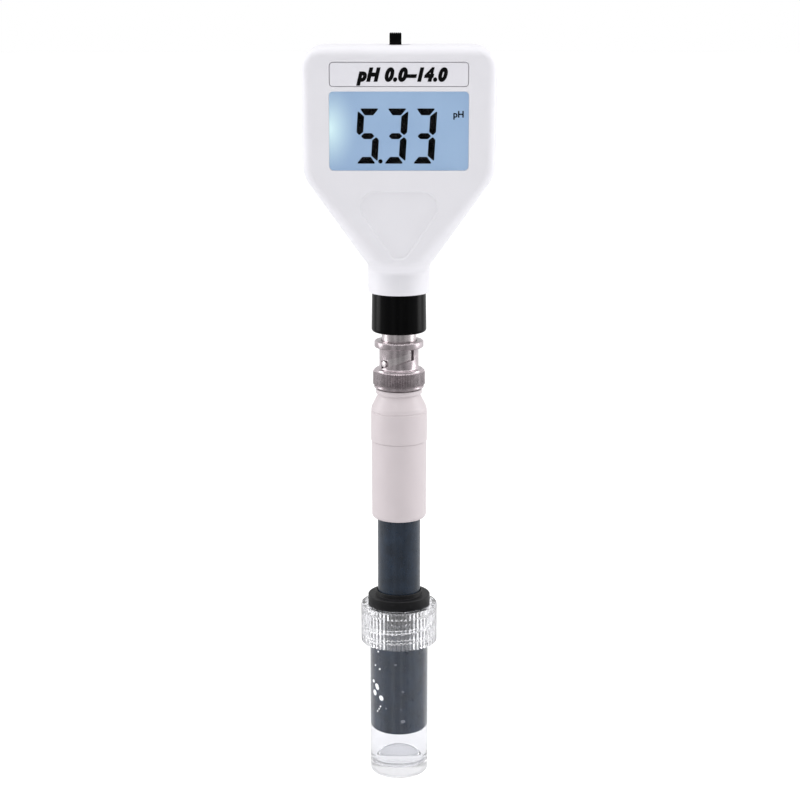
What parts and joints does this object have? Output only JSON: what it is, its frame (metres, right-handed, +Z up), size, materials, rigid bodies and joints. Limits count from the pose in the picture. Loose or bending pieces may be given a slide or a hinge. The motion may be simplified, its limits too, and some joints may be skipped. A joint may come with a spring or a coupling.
{
  "type": "pH meter",
  "caption": "Hand-held pH meter: white display head with a backlit LCD, bayonet plug-in electrode and clear screw-cap storage bottle.",
  "frame": {"origin": "centre of the storage bottle's foot, which the meter stands on", "axes": "+Z up along the electrode to the display head, +Y from the display towards the back, +X to the right seen from the display side"},
  "size_m": [0.052, 0.025, 0.2102],
  "materials": {
    "white_shell": "fine moulded texture, satin",
    "label_film": "satin printed film",
    "clear_lens": "clear acrylic, polished",
    "lcd_glass": "backlit liquid crystal cell, polarizer film",
    "black_plastic": "satin moulded",
    "diffuser": "milky light guide",
    "elastomer": "layered conductive elastomer",
    "board_green": "solder mask on glass laminate",
    "nickel": "nickel plate, turned",
    "trimmer_blue": "moulded",
    "brass": "turned",
    "steel": "zinc plated",
    "ptfe": "waxy",
    "cap_white": "warm white moulded plastic, satin",
    "electrode_body": "dark blue-black, semi-gloss",
    "electrode_glass": "blown glass",
    "ceramic": "porous, unglazed",
    "silver": "chlorided silver",
    "black_rubber": "moulded, matte",
    "clear_plastic": "clear injection-moulded plastic",
    "wire_red": "insulated lead",
    "wire_black": "insulated lead"
  },
  "bodies": {
    "head": {"front_shell": "white_shell", "rear_shell": "white_shell", "label_plate": "label_film", "display_window": "clear_lens", "lcd_glass": "lcd_glass", "lcd_frame": "black_plastic", "zebra_strip_lower": "elastomer", "zebra_strip_upper": "elastomer", "backlight_panel": "diffuser", "circuit_board": "board_green", "converter_chip": "black_plastic", "switch_housing": "steel", "trimmer_ph7_body": "trimmer_blue", "trimmer_slope_body": "trimmer_blue", "case_screw_1": "steel", "case_screw_2": "steel", "case_screw_3": "steel", "case_screw_4": "steel", "battery_holder": "black_plastic", "button_cell_1": "steel", "button_cell_2": "steel", "button_cell_3": "steel", "battery_contact_plus": "nickel", "battery_contact_spring": "nickel", "neck_sleeve": "black_plastic", "jack_body": "nickel", "jack_insulator": "ptfe", "jack_contact": "brass", "jack_nut": "nickel", "signal_wire": "wire_red", "ground_wire": "wire_black"},
    "power_switch": {"switch_knob": "black_plastic"},
    "trimmer_ph7": {"trimmer_ph7_adjuster": "brass"},
    "trimmer_slope": {"trimmer_slope_adjuster": "brass"},
    "battery_door": {"battery_door": "white_shell"},
    "electrode": {"plug_body": "nickel", "plug_insulator": "ptfe", "plug_pin": "brass", "wave_washer": "steel", "plug_gasket": "black_rubber", "electrode_cap": "cap_white", "handle_sleeve": "cap_white", "electrode_tube": "electrode_body", "junction_plug": "ceramic", "bulb_guard": "electrode_body", "glass_stem": "electrode_glass", "stem_seal": "black_rubber", "inner_wire": "silver", "reference_wire": "silver"},
    "coupling_nut": {"coupling_nut": "nickel"},
    "bottle_seal": {"bottle_seal": "black_rubber"},
    "bottle_cap": {"bottle_cap": "clear_plastic"},
    "bottle": {"bottle": "clear_plastic"}
  },
  "joints": [
    {"name": "switch_slide", "type": "slide", "parent": "head", "child": "power_switch", "axis": [1, 0, 0], "range_m": [0, 0.002]},
    {"name": "trimmer_ph7_turn", "type": "hinge", "parent": "head", "child": "trimmer_ph7", "pos_m": [-0.006, 0, 0.166], "axis": [0, 1, 0], "range_deg": [-135, 135]},
    {"name": "trimmer_slope_turn", "type": "hinge", "parent": "head", "child": "trimmer_slope", "pos_m": [0.006, 0, 0.166], "axis": [0, 1, 0], "range_deg": [-135, 135]},
    {"name": "battery_door_hinge", "type": "hinge", "parent": "head", "child": "battery_door", "pos_m": [0, 0.0117, 0.1724], "axis": [-1, 0, 0], "range_deg": [0, 95]},
    {"name": "plug_draw", "type": "slide", "parent": "head", "child": "electrode", "axis": [0, 0, -1], "range_m": [0, 0.0023]},
    {"name": "nut_turn", "type": "hinge", "parent": "electrode", "child": "coupling_nut", "pos_m": [0, 0, 0.1205], "axis": [0, 0, -1], "range_deg": [0, 85]},
    {"name": "bottle_pull", "type": "slide", "parent": "electrode", "child": "bottle_seal", "axis": [0, 0, -1], "range_m": [-0.008, 0.06]},
    {"name": "cap_unscrew", "type": "hinge", "parent": "bottle_seal", "child": "bottle_cap", "pos_m": [0, 0, 0.045], "axis": [0, 0, 1], "range_deg": [0, 720]},
    {"name": "bottle_drop", "type": "slide", "parent": "bottle_seal", "child": "bottle", "axis": [0, 0, -1], "range_m": [0, 0.0061]}
  ],
  "couplings": [
    {"joint": "plug_draw", "follows": "nut_turn", "m_per_rad": 0.0014724},
    {"joint": "bottle_drop", "follows": "cap_unscrew", "m_per_rad": 0.00047746}
  ]
}
